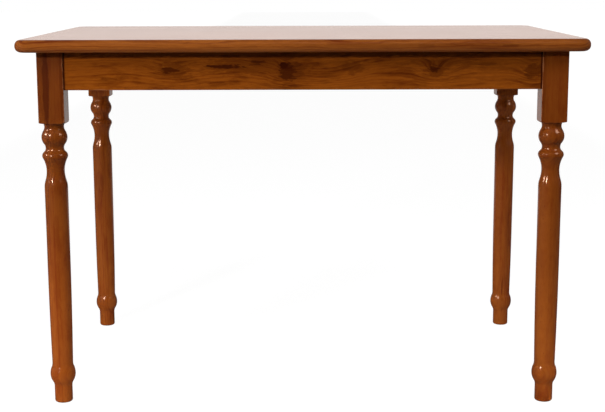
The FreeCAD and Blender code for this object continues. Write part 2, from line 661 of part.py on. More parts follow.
corner_screws = []
up = FreeCAD.Vector(0, 0, 1)
for turns, (name, sign_x, sign_y) in enumerate(CORNERS):
    inward_x, inward_y = ("+" if sign == "-" else "-" for sign in (sign_x, sign_y))
    along_x = f"({sign_x}{INNER_X} {inward_x} {CORNER_SCREW_ALONG})"
    along_y = f"({sign_y}{INNER_Y} {inward_y} {CORNER_SCREW_ALONG})"
    seat_x = f"({sign_x}{INNER_X} {inward_x} {CORNER_SCREW_SEAT})"
    seat_y = f"({sign_y}{INNER_Y} {inward_y} {CORNER_SCREW_SEAT})"
    # An odd number of quarter turns brings a block's front end to the side rail.
    shares = (FRONT_SCREW_SHARE, SIDE_SCREW_SHARE)
    long_share, short_share = reversed(shares) if turns % 2 else shares
    long_height = f"({CORNER_BLOCK_BOTTOM} + Sizes.corner_block_height * {long_share})"
    short_height = f"({CORNER_BLOCK_BOTTOM} + Sizes.corner_block_height * {short_share})"
    outward_y = FreeCAD.Vector(0, -1 if sign_y == "-" else 1, 0)
    outward_x = FreeCAD.Vector(-1 if sign_x == "-" else 1, 0, 0)
    corner_screws.append(((along_x, seat_y, long_height), FreeCAD.Rotation(up, outward_y)))
    corner_screws.append(((seat_x, along_y, short_height), FreeCAD.Rotation(up, outward_x)))

button_screw = make_screw("button_screw_pattern", "Sizes.button_screw")
corner_screw = make_screw("corner_screw_pattern", "Sizes.corner_screw")
nodes.append(group_screws("button_screws", button_screw, button_screws))
nodes.append(group_screws("corner_block_screws", corner_screw, corner_screws))

doc.recompute()
for item in doc.Objects:
    if "Invalid" in item.State or "Error" in item.State:
        raise RuntimeError(f"{item.Name} is {item.State}")
for node in nodes:
    if node.Shape.isNull() or not node.Shape.isValid():
        raise RuntimeError(f"{node.Label} has no valid shape")

os.makedirs("parts", exist_ok=True)
for node in nodes:
    node.Shape.exportStep(f"parts/{node.Label}.step")
    volume = node.Shape.Volume / CUBIC_MM_PER_CUBIC_CM
    print(f"{node.Label}: {len(node.Shape.Solids)} solids, {volume:.1f} cm3")
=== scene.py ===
# %% [markdown]
# A turned-leg dining table in lacquered wood
#
# The real table is solid red-brown hardwood under a thick gloss lacquer. Its shapes come from the packed
# model, and nothing below moves a piece or changes its mesh. So this lesson is about wood: how one log
# gives every piece its own figure, how knots bend it, and how lacquer shines.

# %% Load the table
import math
from collections import namedtuple

import bpy
from mathutils import Euler, Matrix, Vector


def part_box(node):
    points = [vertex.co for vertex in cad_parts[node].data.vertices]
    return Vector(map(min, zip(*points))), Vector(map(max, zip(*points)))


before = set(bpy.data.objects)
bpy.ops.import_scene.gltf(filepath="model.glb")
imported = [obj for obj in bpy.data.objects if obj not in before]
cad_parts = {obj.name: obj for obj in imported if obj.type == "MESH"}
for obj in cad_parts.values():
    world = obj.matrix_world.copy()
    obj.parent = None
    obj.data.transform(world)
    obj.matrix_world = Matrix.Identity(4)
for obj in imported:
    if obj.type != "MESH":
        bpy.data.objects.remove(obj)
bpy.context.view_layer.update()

# %% [markdown]
# The photographer stood square to the table's front, with the lens a little above the top. A camera can be
# placed by eye, but this one's place and lens were worked out from the table's own edges in the photograph,
# so that the render lies over it. The angles say where the lens points: a hair to the left of straight
# ahead, about ten degrees down, and almost level. Blender wants the lens in millimetres, for a sensor 36 mm
# wide.

# %% Camera
CAMERA_PLACE = Vector((0.0043, -2.8693, 0.8686))
CAMERA_TURN = math.radians(0.120)
CAMERA_DOWN = math.radians(10.096)
CAMERA_TILT = math.radians(-0.157)
PICTURE_WIDTH = 605
FOCAL_PIXELS = 1284.15
SENSOR_WIDTH = 36.0
LEVEL_CAMERA = math.radians(90)

camera_data = bpy.data.cameras.new("camera")
camera_data.sensor_width = SENSOR_WIDTH
camera_data.lens = FOCAL_PIXELS * SENSOR_WIDTH / PICTURE_WIDTH
camera = bpy.data.objects.new("camera", camera_data)
camera.location = CAMERA_PLACE
look = Euler((LEVEL_CAMERA - CAMERA_DOWN, 0, CAMERA_TURN)).to_matrix()
camera.rotation_euler = (look @ Matrix.Rotation(CAMERA_TILT, 3, "Z")).to_euler()
bpy.context.collection.objects.link(camera)
bpy.context.scene.camera = camera
bpy.context.scene.view_settings.view_transform = "Standard"
print("lens:", round(camera_data.lens, 2), "mm")


# %% [markdown]
# Every finish below is a small machine of shader nodes. They could be wired by hand in the shader editor,
# but code can be read from top to bottom, and a loop can make it again for each piece. These helpers add a
# node and feed its sockets with plain values or with another node's output. An effect that several
# materials share goes in a node group, which is built once and shows only its named inputs and outputs.

# %% Node helpers
SOCKETS = {"number": "NodeSocketFloat", "vector": "NodeSocketVector", "color": "NodeSocketColor"}


def feed(tree, socket, source):
    """Link a socket to another node's output, or set it to a plain value."""
    if isinstance(source, bpy.types.NodeSocket):
        tree.links.new(source, socket)
    else:
        socket.default_value = source


def add(tree, kind, sources=None, **settings):
    """Add a node, set its options, and feed its inputs by name or number."""
    made = tree.nodes.new(kind)
    for name, choice in settings.items():
        setattr(made, name, choice)
    for name, source in (sources or {}).items():
        feed(tree, made.inputs[name], source)
    return made


def calc(tree, operation, *sources, clamp=False):
    """Work out one sum on single numbers."""
    made = add(tree, "ShaderNodeMath", dict(enumerate(sources)), operation=operation, use_clamp=clamp)
    return made.outputs["Value"]


def calc_vector(tree, operation, *sources):
    """Work out one sum on vectors."""
    made = add(tree, "ShaderNodeVectorMath", dict(enumerate(sources)), operation=operation)
    return made.outputs["Value" if operation == "LENGTH" else "Vector"]


def split(tree, vector):
    """Return a vector's X, Y and Z by name."""
    return add(tree, "ShaderNodeSeparateXYZ", {"Vector": vector}).outputs


def new_group(name, inputs, outputs):
    """Start a node group. An input is (name, kind, default) and an output is (name, kind)."""
    tree = bpy.data.node_groups.new(name, "ShaderNodeTree")
    for label, kind, default in inputs:
        socket = tree.interface.new_socket(label, in_out="INPUT", socket_type=SOCKETS[kind])
        socket.default_value = default
    for label, kind in outputs:
        tree.interface.new_socket(label, in_out="OUTPUT", socket_type=SOCKETS[kind])
    start = tree.nodes.new("NodeGroupInput")
    end = tree.nodes.new("NodeGroupOutput")
    return tree, start.outputs, end.inputs


print("kinds of group sockets:", ", ".join(SOCKETS))


# %% [markdown]
# No tree grows evenly, so nearly everything in wood needs noise. A picture of wood would give that at once,
# but it repeats and it doesn't run through a piece. Noise worked out in space does: a face and the end
# beside it cut the same cloud. A cloud is drawn out along the grain by shrinking the place along X before
# the noise is read, and the scales below are for X, Y and Z, per metre.

# %% Noise helpers
NOISE_MIDDLE = 0.5


def stretch(tree, place, scales):
    """Scale a place along its three directions."""
    return calc_vector(tree, "MULTIPLY", place, scales)


def cloud(tree, place, scale=1.0, detail=2.0, roughness=0.5, seed=0.0):
    """Return soft noise between 0 and 1."""
    sources = {"Vector": place, "W": seed, "Scale": scale, "Detail": detail, "Roughness": roughness}
    return add(tree, "ShaderNodeTexNoise", sources, noise_dimensions="4D").outputs["Fac"]


def swing(tree, noise, width):
    """Turn noise into a shift that is as often down as up."""
    return calc(tree, "MULTIPLY", calc(tree, "SUBTRACT", noise, NOISE_MIDDLE), width)


def fade(tree, value, start, end, low=0.0, high=1.0):
    """Turn a value that goes from start to end into one that goes smoothly from low to high."""
    sources = {"Value": value, "From Min": start, "From Max": end, "To Min": low, "To Max": high}
    return add(tree, "ShaderNodeMapRange", sources, interpolation_type="SMOOTHSTEP").outputs["Result"]


print("middle of the noise:", NOISE_MIDDLE)

# %% [markdown]
# Wood figure is the tree's yearly rings, cut by the saw. Stripes could be drawn on each face, but they
# wouldn't meet at the corners. So the group counts rings in space, as the tree does: the distance from the
# pith's line, divided by a ring's width, and shifted by a slow and a quick wander. Every face of a piece
# cuts the same rings.

# %% Ring count
ACROSS_GRAIN = (0, 1, 1)
SLOW_WANDER = (3.0, 14.0, 14.0)
QUICK_WANDER = (16.0, 70.0, 70.0)
QUICK_SHARE = 0.22

rings_group, given, out = new_group(
    "ring count",
    [
        ("Place", "vector", (0, 0, 0)),
        ("Pith", "vector", (0, 0.1, 0)),
        ("Ring width", "number", 0.005),
        ("Wander", "number", 1.0),
        ("Seed", "number", 0.0),
    ],
    [("Rings", "number")],
)
from_pith = calc_vector(rings_group, "SUBTRACT", given["Place"], given["Pith"])
distance = calc_vector(rings_group, "LENGTH", stretch(rings_group, from_pith, ACROSS_GRAIN))
even_rings = calc(rings_group, "DIVIDE", distance, given["Ring width"])
slow = cloud(rings_group, stretch(rings_group, given["Place"], SLOW_WANDER), seed=given["Seed"])
slow_shift = swing(rings_group, slow, given["Wander"])
quick = cloud(rings_group, stretch(rings_group, given["Place"], QUICK_WANDER), detail=3.0, seed=given["Seed"])
quick_shift = swing(rings_group, quick, calc(rings_group, "MULTIPLY", given["Wander"], QUICK_SHARE))
slowly_shifted = calc(rings_group, "ADD", even_rings, slow_shift)
feed(rings_group, out["Rings"], calc(rings_group, "ADD", slowly_shifted, quick_shift))
print("group:", rings_group.name, len(rings_group.nodes), "nodes")

# %% [markdown]
# A knot is a branch that the trunk grew round. A dark spot alone would look painted on, because in real
# wood the rings climb over the branch. So near a knot the ring count is raised in a soft hill, and the
# figure then flows round it like water round a stone. The branch's own wood is nearly black, with a ragged
# edge, and dark streaks run out from it along the grain. With no climb, the same group makes a plain dark
# streak or stain, and also bands of painted shade.

# %% Knot
RAGGED_SCALES = (60.0, 160.0, 240.0)
CORE_EDGE = (0.85, 0.45)
HALO_SCALES = (26.0, 150.0, 330.0)
HALO_STREAKS = (0.46, 0.58)
HALO_REACH = -0.45
HALO_DARKNESS = 0.8

knot_group, given, out = new_group(
    "knot",
    [
        ("Place", "vector", (0, 0, 0)),
        ("Centre", "vector", (0, 0, 0)),
        ("Half length", "number", 0.03),
        ("Half height", "number", 0.012),
        ("Climb", "number", 3.0),
        ("Darkness", "number", 0.8),
        ("Ragged", "number", 2.2),
        ("Seed", "number", 0.0),
    ],
    [("Climb", "number"), ("Core", "number")],
)
from_knot = split(knot_group, calc_vector(knot_group, "SUBTRACT", given["Place"], given["Centre"]))
along = calc(knot_group, "DIVIDE", from_knot["X"], given["Half length"])
up = calc(knot_group, "DIVIDE", from_knot["Z"], given["Half height"])
along_squared = calc(knot_group, "MULTIPLY", along, along)
up_squared = calc(knot_group, "MULTIPLY", up, up)
away_squared = calc(knot_group, "ADD", along_squared, up_squared)
hill = calc(knot_group, "EXPONENT", calc(knot_group, "MULTIPLY", away_squared, -1.0))
feed(knot_group, out["Climb"], calc(knot_group, "MULTIPLY", hill, given["Climb"]))
print("group:", knot_group.name, len(knot_group.nodes), "nodes for its climb")

# %% [markdown]
# The second half of the group makes the dark wood. The core is everything nearer than one half length or
# height, with noise added to the distance so that its edge is ragged. The halo reaches further, and a
# second cloud, drawn out along the grain, breaks it up into streaks.

# %% Knot's dark wood
ragged_place = stretch(knot_group, given["Place"], RAGGED_SCALES)
ragged = cloud(knot_group, ragged_place, detail=4.0, roughness=0.65, seed=given["Seed"])
ragged_shift = swing(knot_group, ragged, given["Ragged"])
rough_away = calc(knot_group, "ADD", calc(knot_group, "SQRT", away_squared), ragged_shift)
core = fade(knot_group, rough_away, *CORE_EDGE)
halo_place = stretch(knot_group, given["Place"], HALO_SCALES)
halo_streak = cloud(knot_group, halo_place, detail=3.0, roughness=0.6, seed=given["Seed"])
wide_hill = calc(knot_group, "EXPONENT", calc(knot_group, "MULTIPLY", away_squared, HALO_REACH))
halo_share = calc(knot_group, "MULTIPLY", wide_hill, fade(knot_group, halo_streak, *HALO_STREAKS))
halo = calc(knot_group, "MULTIPLY", halo_share, HALO_DARKNESS)
stain = calc(knot_group, "MAXIMUM", core, halo)
feed(knot_group, out["Core"], calc(knot_group, "MULTIPLY", stain, given["Darkness"]))
print("group:", knot_group.name, len(knot_group.nodes), "nodes in all")

# %% [markdown]
# Now the ring count becomes colour. Wood could be two colours in stripes, but a real ring isn't even: it is
# pale where it grew in spring, darkens through the summer and stops sharply at winter. Its number gives
# each year its own luck, so some years are darker than others.

# %% Wood colour: rings
SUMMER = (0.25, 0.85)
WINTER = (1.0, 0.9)
PALEST_YEAR = 0.25

wood_group, given, out = new_group(
    "wood colour",
    [
        ("Place", "vector", (0, 0, 0)),
        ("Rings", "number", 0.0),
        ("Core", "number", 0.0),
        ("Pale", "color", (0.27, 0.08, 0.012, 1)),
        ("Deep", "color", (0.10, 0.02, 0.002, 1)),
        ("Black", "color", (0.018, 0.004, 0.001, 1)),
        ("Ring depth", "number", 0.5),
        ("Streak depth", "number", 0.5),
        ("Patch depth", "number", 0.5),
        ("Grain length", "number", 0.08),
        ("Seed", "number", 0.0),
    ],
    [("Color", "color"), ("Pores", "number"), ("Height", "number")],
)
in_ring = calc(wood_group, "FRACT", given["Rings"])
darkens = fade(wood_group, in_ring, *SUMMER)
late_wood = calc(wood_group, "MULTIPLY", darkens, fade(wood_group, in_ring, *WINTER))
year = calc(wood_group, "FLOOR", given["Rings"])
year_luck = add(wood_group, "ShaderNodeTexWhiteNoise", {"W": year}, noise_dimensions="1D").outputs["Value"]
year_dark = calc(wood_group, "MULTIPLY", late_wood, fade(wood_group, year_luck, 0.0, 1.0, PALEST_YEAR, 1.0))
ring_dark = calc(wood_group, "MULTIPLY", year_dark, given["Ring depth"])
print("group:", wood_group.name, len(wood_group.nodes), "nodes for its rings")

# %% [markdown]
# Between the rings run finer marks: dark streaks, thin fibres, and slow patches that make one end of a
# board redder than the other. They could be noise in plain space, but then they would cross the rings. Here
# the noise reads the ring count as its own sideways direction, so the marks bend round knots together with
# the rings.

# %% Wood colour: streaks, fibres and patches
STREAK_SCALES = (1.0, 0.55, 20.0)
STREAK_RANGE = (0.47, 0.64)
FIBRE_SCALES = (60.0, 6.0, 90.0)
FIBRE_DEPTH = 0.22
PATCH_SCALES = (0.6, 0.16, 9.0)
SOFT_RANGE = (0.35, 0.7)

axes = split(wood_group, given["Place"])
grain_axes = {"X": axes["X"], "Y": given["Rings"], "Z": axes["Y"]}
grain_place = add(wood_group, "ShaderNodeCombineXYZ", grain_axes).outputs["Vector"]
grain_axes["X"] = calc(wood_group, "DIVIDE", axes["X"], given["Grain length"])
long_place = add(wood_group, "ShaderNodeCombineXYZ", grain_axes).outputs["Vector"]

streak_place = stretch(wood_group, long_place, STREAK_SCALES)
streak = cloud(wood_group, streak_place, detail=4.0, roughness=0.6, seed=given["Seed"])
streak_dark = calc(wood_group, "MULTIPLY", fade(wood_group, streak, *STREAK_RANGE), given["Streak depth"])
fibre = cloud(wood_group, stretch(wood_group, grain_place, FIBRE_SCALES), detail=3.0, seed=given["Seed"])
fibre_dark = calc(wood_group, "MULTIPLY", fade(wood_group, fibre, *SOFT_RANGE), FIBRE_DEPTH)
patch = cloud(wood_group, stretch(wood_group, long_place, PATCH_SCALES), seed=given["Seed"])
patch_dark = calc(wood_group, "MULTIPLY", fade(wood_group, patch, *SOFT_RANGE), given["Patch depth"])
print("group:", wood_group.name, len(wood_group.nodes), "nodes with its streaks")


# %% [markdown]
# All these shades of dark are added up and mix the pale colour into the deep one. Knots, bands of painted
# shade and open pores then take the blackest colour. Pores are short, thin pits, and the fibres between them
# are fine ridges. So the group also puts out a height: a bump from the same noise fits the colour exactly,
# where one of its own would slide over it.

# %% Wood colour: pores and mixing
PORE_SCALES = (150.0, 14.0, 500.0)
PORE_RANGE = (0.66, 0.74)
PORE_DARKNESS = 0.45
FIBRE_RELIEF = 0.3


def blend_colors(tree, share, first, second):
    """Mix two colours. A share of 1 gives the second."""
    made = add(tree, "ShaderNodeMix", {"Factor": share}, data_type="RGBA")
    first_input, second_input = [socket for socket in made.inputs if socket.type == "RGBA"]
    feed(tree, first_input, first)
    feed(tree, second_input, second)
    return next(socket for socket in made.outputs if socket.type == "RGBA")


darkness = calc(wood_group, "ADD", calc(wood_group, "ADD", ring_dark, streak_dark), fibre_dark)
darkness = calc(wood_group, "ADD", darkness, patch_dark, clamp=True)
wood = blend_colors(wood_group, darkness, given["Pale"], given["Deep"])
wood = blend_colors(wood_group, given["Core"], wood, given["Black"])
pore_noise = cloud(wood_group, stretch(wood_group, grain_place, PORE_SCALES), detail=1.0, seed=given["Seed"])
pores = fade(wood_group, pore_noise, *PORE_RANGE)
wood = blend_colors(wood_group, calc(wood_group, "MULTIPLY", pores, PORE_DARKNESS), wood, given["Black"])
feed(wood_group, out["Color"], wood)
feed(wood_group, out["Pores"], pores)
relief = calc(wood_group, "SUBTRACT", calc(wood_group, "MULTIPLY", fibre, FIBRE_RELIEF), pores)
feed(wood_group, out["Height"], calc(wood_group, "SUBTRACT", relief, given["Core"]))
print("group:", wood_group.name, len(wood_group.nodes), "nodes in all")

# %% [markdown]
# Hands, cloths and chairs rub a table's sharp edges first, so the stain there wears thin and paler. Corners
# where a rail meets a leg get a dark line of painted shade. Wear could be found from the mesh's curvature,
# but a sawn piece is a long box, so the way to its nearest long edge is known from the place alone. That
# costs little and looks the same on a coarse mesh.

# %% Rubbed edges and painted corner shade
RUB_SCALES = (40.0, 160.0, 160.0)
RUB_RANGE = (0.3, 0.7)
RUB_WIDTHS = (0.2, 1.6)
# Where the painted corner shade fades in, just before a rail's shoulder.
CORNER_SHADE_SPAN = (-0.0045, -0.0020)
NO_SHOULDER = 1.0

wear_and_shade_group, given, out = new_group(
    "edge wear",
    [
        ("Place", "vector", (0, 0, 0)),
        ("Half size", "vector", (0.5, 0.01, 0.04)),
        ("Width", "number", 0.002),
        ("Shoulder", "number", NO_SHOULDER),
        ("Seed", "number", 0.0),
    ],
    [("Worn", "number"), ("Corner", "number")],
)
from_middle = calc_vector(wear_and_shade_group, "ABSOLUTE", given["Place"])
inside = split(wear_and_shade_group, calc_vector(wear_and_shade_group, "SUBTRACT", given["Half size"], from_middle))
to_edge = calc(wear_and_shade_group, "ADD", inside["Y"], inside["Z"])
rub_place = stretch(wear_and_shade_group, given["Place"], RUB_SCALES)
rub = cloud(wear_and_shade_group, rub_place, detail=3.0, roughness=0.6, seed=given["Seed"])
rub_width = calc(wear_and_shade_group, "MULTIPLY", given["Width"], fade(wear_and_shade_group, rub, *RUB_RANGE, *RUB_WIDTHS))
worn = calc(wear_and_shade_group, "SUBTRACT", 1.0, calc(wear_and_shade_group, "DIVIDE", to_edge, rub_width), clamp=True)
feed(wear_and_shade_group, out["Worn"], worn)
# The corner output is painted shade in the corner where a rail meets a leg.
along_piece = split(wear_and_shade_group, from_middle)["X"]
past_shoulder = calc(wear_and_shade_group, "SUBTRACT", along_piece, given["Shoulder"])
feed(wear_and_shade_group, out["Corner"], fade(wear_and_shade_group, past_shoulder, *CORNER_SHADE_SPAN))
print("group:", wear_and_shade_group.name, len(wear_and_shade_group.nodes), "nodes")

# %% [markdown]
# Two more effects belong to the finish. Wiping leaves faint smudges that change how satin the wood looks
# under its coat, and the lacquer in the deepest hollow of a turning was never rubbed bright, so it stays
# dull. Both are masks from the place, because one even gloss over a whole table looks like plastic.

# %% Smudges and dull hollows
SMUDGE_SCALE = 14.0
SMUDGE_RANGE = (0.3, 0.7)
SATIN = (0.40, 0.50)
HOLLOW_CORE_SHARE = 0.6
DULL_SHARE = 0.3

smudge_group, given, out = new_group(
    "smudges",
    [("Place", "vector", (0, 0, 0)), ("Seed", "number", 0.0)],
    [("Roughness", "number")],
)
smudge = cloud(smudge_group, given["Place"], SMUDGE_SCALE, detail=3.0, seed=given["Seed"])
feed(smudge_group, out["Roughness"], fade(smudge_group, smudge, *SMUDGE_RANGE, *SATIN))

hollow_group, given, out = new_group(
    "dull hollow",
    [
        ("Place", "vector", (0, 0, 0)),
        ("Centre", "number", 0.0),
        ("Half width", "number", 0.01),
        ("Full coat", "number", 1.0),
    ],
    [("Coat", "number")],
)
from_hollow = calc(hollow_group, "SUBTRACT", split(hollow_group, given["Place"])["X"], given["Centre"])
away = calc(hollow_group, "ABSOLUTE", from_hollow)
hollow_core = calc(hollow_group, "MULTIPLY", given["Half width"], HOLLOW_CORE_SHARE)
shine_share = fade(hollow_group, away, hollow_core, given["Half width"], DULL_SHARE, 1.0)
feed(hollow_group, out["Coat"], calc(hollow_group, "MULTIPLY", given["Full coat"], shine_share))
print("groups:", smudge_group.name, "and", hollow_group.name)


# %% [markdown]
# Each piece is sawn from its own part of the log. One material for all would run the same figure through
# the whole table, which no joiner could do. So each piece gets its own: where its grain runs, where the
# pith lies beside it, and its knots. The place on a piece is measured from its middle, with X along the
# grain, and Blender's Mapping node of the kind Texture turns the table's coordinates into that.

# %% A piece's place in the log
ALONG_X = (0, 0, 0)
ALONG_Y = (0, 0, math.radians(90))
ALONG_Z = (0, math.radians(-90), 0)
FLAT_BOARD = (math.radians(90), 0, 0)

# A knot's centre along the piece and up its face, its half length and half height, how many rings climb over
# it, and how dark it is. The same fields place streaks, stains and bands of painted shade.
Knot = namedtuple("Knot", "along up half_length half_height climb darkness")


def place_in_log(tree, node, turn):
    """Return the place on a piece, measured from its middle, with X along the grain."""
    low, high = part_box(node)
    here = add(tree, "ShaderNodeTexCoord").outputs["Object"]
    sources = {"Vector": here, "Location": (low + high) / 2, "Rotation": turn}
    return add(tree, "ShaderNodeMapping", sources, vector_type="TEXTURE").outputs["Vector"]


def half_size_of(node, turn):
    """Return half of a piece's length, depth and height, in the directions of its place in the log."""
    low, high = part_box(node)
    across_log = Euler(turn).to_matrix().transposed() @ (high - low)
    return Vector([abs(side) / 2 for side in across_log])


print("half size of a leg:", tuple(half_size_of("leg_front_left", ALONG_Z)))


# %% [markdown]
# The wood of one piece is put together from the groups. The rings come first, and each knot then raises
# them and adds its dark core. The knots could be shapes modelled into the board, but these are only seen,
# never felt. Rubbed edges and the painted shade in rail corners are mixed over the wood's colour, because
# rubbing comes after the wood and shade falls on top of it.

# %% Wood of one piece
WORN_WOOD = (0.42, 0.17, 0.07, 1)
WORN_SHARE = 0.7
# Painted shade: the dark line in the corner where a rail meets a leg.
CORNER_SHADE_COLOR = (0.03, 0.004, 0.001, 1)
CORNER_SHADE_SHARE = 0.9


def use(tree, group, **sources):
    """Place a group in a material. Underscores in a source's name stand for spaces."""
    made = tree.nodes.new("ShaderNodeGroup")
    made.node_tree = group
    for name, source in sources.items():
        feed(tree, made.inputs[name.replace("_", " ").capitalize()], source)
    return made.outputs


def grow(tree, place, seed, pith, knots, ring_width, wander, ragged):
    """Count a piece's rings, and return them with the dark cores of its knots, streaks and painted shade."""
    log = use(tree, rings_group, place=place, pith=pith, ring_width=ring_width, wander=wander, seed=seed)
    rings = log["Rings"]
    core = 0.0
    for number, knot in enumerate(knots):
        branch = use(tree, knot_group, place=place, centre=(knot.along, 0, knot.up),
                     half_length=knot.half_length, half_height=knot.half_height,
                     climb=knot.climb, darkness=knot.darkness, ragged=ragged, seed=seed + number)
        rings = calc(tree, "ADD", rings, branch["Climb"])
        core = calc(tree, "MAXIMUM", core, branch["Core"])
    return rings, core


def wear_and_shade(tree, color, place, seed, half_size, shoulder):
    """Rub a piece's long edges pale, and paint shade into the corners at its shoulders."""
    edge = use(tree, wear_and_shade_group, place=place, half_size=half_size, shoulder=shoulder, seed=seed)
    color = blend_colors(tree, calc(tree, "MULTIPLY", edge["Worn"], WORN_SHARE), color, WORN_WOOD)
    return blend_colors(tree, calc(tree, "MULTIPLY", edge["Corner"], CORNER_SHADE_SHARE), color, CORNER_SHADE_COLOR)


print("most that an edge wears:", WORN_SHARE, "and that a corner darkens:", CORNER_SHADE_SHARE)


# %% [markdown]
# The lacquer is a clear, smooth layer over the wood. The wood itself could be made shiny, but then its
# pores would break the highlights up. So the Principled shader's coat is used: the wood below stays satin,
# and the coat on top gives sharp highlights that grow strong at a low angle. Its index is set under the 1.5
# of real lacquer, which brings the reflections down to those of the photograph. Planed wood has no coat,
# and is roughest in its pores.

# %% Finishes
WOOD_SHINE = 0.05
COAT_WEIGHT = 0.75
COAT_INDEX = 1.35
LACQUERED_BUMP = 0.25
PLANED_BUMP = 0.6
PORE_DEPTH = 0.0003
PLANED_ROUGHNESS = (0.62, 0.85)


def roughen(tree, shader, height, strength):
    """Let the wood's pores and fibres catch the light."""
    bump = add(tree, "ShaderNodeBump", {"Height": height, "Strength": strength, "Distance": PORE_DEPTH})
    feed(tree, shader.inputs["Normal"], bump.outputs["Normal"])


def lacquer(tree, shader, place, seed, coat_roughness, hollow):
    """Cover the wood with a clear coat. A hollow is its centre along the piece and its half width."""
    feed(tree, shader.inputs["Roughness"], use(tree, smudge_group, place=place, seed=seed)["Roughness"])
    shader.inputs["Specular IOR Level"].default_value = WOOD_SHINE
    shader.inputs["Coat Weight"].default_value = COAT_WEIGHT
    shader.inputs["Coat Roughness"].default_value = coat_roughness
    shader.inputs["Coat IOR"].default_value = COAT_INDEX
    if hollow:
        centre, half_width = hollow
        waist = {"centre": centre, "half_width": half_width, "full_coat": COAT_WEIGHT}
        feed(tree, shader.inputs["Coat Weight"], use(tree, hollow_group, place=place, **waist)["Coat"])


print("coat:", COAT_WEIGHT, "with an index of", COAT_INDEX)

# %% [markdown]
# One function now dresses any piece, and a dictionary of looks for each kind of wood keeps its calls short.
# The noise could be seeded at random, but then the table would look different after every run. So the seed
# comes from the letters of the piece's name.

# %% Dress a piece in wood
SEED_SPAN = 97


def dress(node, material):
    """Put a material on a CAD piece in place of its plain one."""
    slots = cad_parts[node].data.materials
    slots.clear()
    slots.append(material)


def dress_in_wood(node, turn, pith, knots=(), ring_width=0.005, wander=3.0, ragged=2.2, worn=False,
                  shoulder=NO_SHOULDER, lacquered=True, coat_roughness=0.12, hollow=None, **looks):
    """Give a CAD piece its own wood, and the finish that goes over it."""
    seed = sum(map(ord, node)) % SEED_SPAN
    material = bpy.data.materials.new(f"wood_{node}")
    material.use_nodes = True
    tree = material.node_tree
    shader = tree.nodes["Principled BSDF"]
    place = place_in_log(tree, node, turn)
    rings, core = grow(tree, place, seed, pith, knots, ring_width, wander, ragged)
    figure = use(tree, wood_group, place=place, rings=rings, core=core, seed=seed, **looks)
    color = figure["Color"]
    # Edge marks are rubbed pale edges, with painted shade in the corners at a rail's shoulders.
    if worn:
        color = wear_and_shade(tree, color, place, seed, half_size_of(node, turn), shoulder)
    feed(tree, shader.inputs["Base Color"], color)
    roughen(tree, shader, figure["Height"], LACQUERED_BUMP if lacquered else PLANED_BUMP)
    if lacquered:
        lacquer(tree, shader, place, seed, coat_roughness, hollow)
    else:
        planed = fade(tree, figure["Pores"], 0.0, 1.0, *PLANED_ROUGHNESS)
        feed(tree, shader.inputs["Roughness"], planed)
    dress(node, material)


print("seeds run from 0 to", SEED_SPAN - 1)

# %% [markdown]
# The top is six boards glued edge to edge, and each board comes from another place in the log. A joint line
# could be drawn between them, but on the real top the joints show only as a change of figure, and six piths
# give just that. The front board's long rounded edge is what the photograph shows best, with three thin
# dark streaks.

# %% Top boards
TOP_WOOD = {
    "pale": (0.29, 0.083, 0.012, 1),
    "deep": (0.13, 0.022, 0.003, 1),
    "black": (0.050, 0.007, 0.001, 1),
    "ring_width": 0.004,
    "wander": 6.0,
    "ragged": 1.0,
    "ring_depth": 0.45,
    "streak_depth": 0.40,
    "patch_depth": 0.25,
    "grain_length": 0.22,
    "coat_roughness": 0.14,
}
BOARD_PITHS = {
    "top_board_1_front": (0, -0.06, 0.02),
    "top_board_2": (0, 0.05, -0.03),
    "top_board_3": (0, -0.09, 0.05),
    "top_board_4": (0, 0.07, 0.0),
    "top_board_5": (0, -0.05, -0.04),
    "top_board_6_back": (0, 0.08, 0.03),
}
# The streaks' middles lie a hair inside the front edge.
STREAK_INSET = 0.00003
FRONT_EDGE = half_size_of("top_board_1_front", FLAT_BOARD).z - STREAK_INSET
FACE_KNOT = Knot(0.31, 0.02, 0.03, 0.012, 2.5, 0.5)
BOARD_KNOTS = {
    "top_board_1_front": [
        Knot(0.220, FRONT_EDGE, 0.360, 0.0010, 0.0, 0.25),
        Knot(0.240, FRONT_EDGE, 0.025, 0.0003, 0.0, 0.40),
        Knot(0.405, FRONT_EDGE, 0.030, 0.0003, 0.0, 0.45),
    ],
    "top_board_3": [FACE_KNOT],
    "top_board_5": [FACE_KNOT],
}
for board, pith in BOARD_PITHS.items():
    dress_in_wood(board, FLAT_BOARD, pith, BOARD_KNOTS.get(board, ()), **TOP_WOOD)
print("boards:", ", ".join(BOARD_PITHS))

# %% [markdown]
# The front rail has the liveliest wood of the table, so its knots, stains and streaks are listed one by one
# from left to right, measured from the rail's middle. Noise alone would make knots too, but not where the
# photograph has them. The last one is no mark in the wood but painted shade: the dark line that the top's
# overhang casts along the rail's upper edge. The other rails are seen from other sides only, and get a knot
# or two of the same kind.

